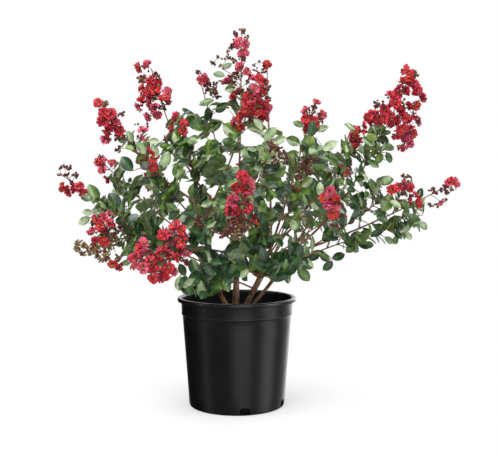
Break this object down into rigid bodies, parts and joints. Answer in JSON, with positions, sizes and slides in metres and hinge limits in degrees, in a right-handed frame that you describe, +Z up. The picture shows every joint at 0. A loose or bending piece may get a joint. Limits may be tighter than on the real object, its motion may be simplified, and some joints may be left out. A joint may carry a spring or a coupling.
{
  "type": "potted flowering shrub",
  "caption": "Multi-stemmed flowering crape myrtle with heads of crinkled crimson flowers, growing in a round black plastic nursery pot filled with potting mix.",
  "frame": {"origin": "middle of the pot's flat underside", "axes": "+X to the right, +Y away from the front of the plant, +Z up"},
  "size_m": [0.913, 0.6978, 0.8932],
  "materials": {
    "pot": "satin",
    "soil": "rough",
    "bark": "rough",
    "foliage": "matte"
  },
  "bodies": {
    "root": {"pot": "pot", "soil": "soil", "stem_left": "bark", "stem_centre": "bark", "stem_right": "bark", "stem_far_right": "bark", "stem_back_right": "bark", "stem_back": "bark", "stem_back_left": "bark", "bough_left_top": "bark", "foliage_left_top": "foliage", "bough_left_high": "bark", "foliage_left_high": "foliage", "bough_crown_front": "bark", "foliage_crown_front": "foliage", "foliage_left_inner": "foliage", "foliage_left_mid": "foliage", "bough_left_low": "bark", "foliage_left_low": "foliage", "bough_crown_top": "bark", "foliage_crown_top": "foliage", "foliage_front_buds": "foliage", "foliage_front_mid": "foliage", "foliage_inner_front": "foliage", "bough_front_left_low": "bark", "foliage_front_left_low": "foliage", "foliage_front_low": "foliage", "bough_right_top": "bark", "foliage_right_top": "foliage", "bough_crown_back": "bark", "foliage_crown_back": "foliage", "foliage_right_buds": "foliage", "foliage_front_right": "foliage", "foliage_inner_right": "foliage", "foliage_low_left": "foliage", "foliage_right_inner": "foliage", "bough_right_high": "bark", "foliage_right_high": "foliage", "bough_right_tip": "bark", "foliage_right_tip": "foliage", "foliage_right_mid": "foliage", "foliage_right_leafy": "foliage", "foliage_right_low": "foliage", "bough_back_right_top": "bark", "foliage_back_right_top": "foliage", "foliage_back_right_mid": "foliage", "foliage_back_right_low": "foliage", "bough_back_top": "bark", "foliage_back_top": "foliage", "foliage_back_high": "foliage", "foliage_mid_left": "foliage", "foliage_back_left_mid": "foliage", "foliage_inner_back": "foliage", "foliage_left_upper": "foliage", "bough_left_tip": "bark", "foliage_left_tip": "foliage", "bough_back_left_top": "bark", "foliage_back_left_top": "foliage", "foliage_back_left_low": "foliage", "foliage_left_leafy": "foliage"}
  },
  "joints": []
}
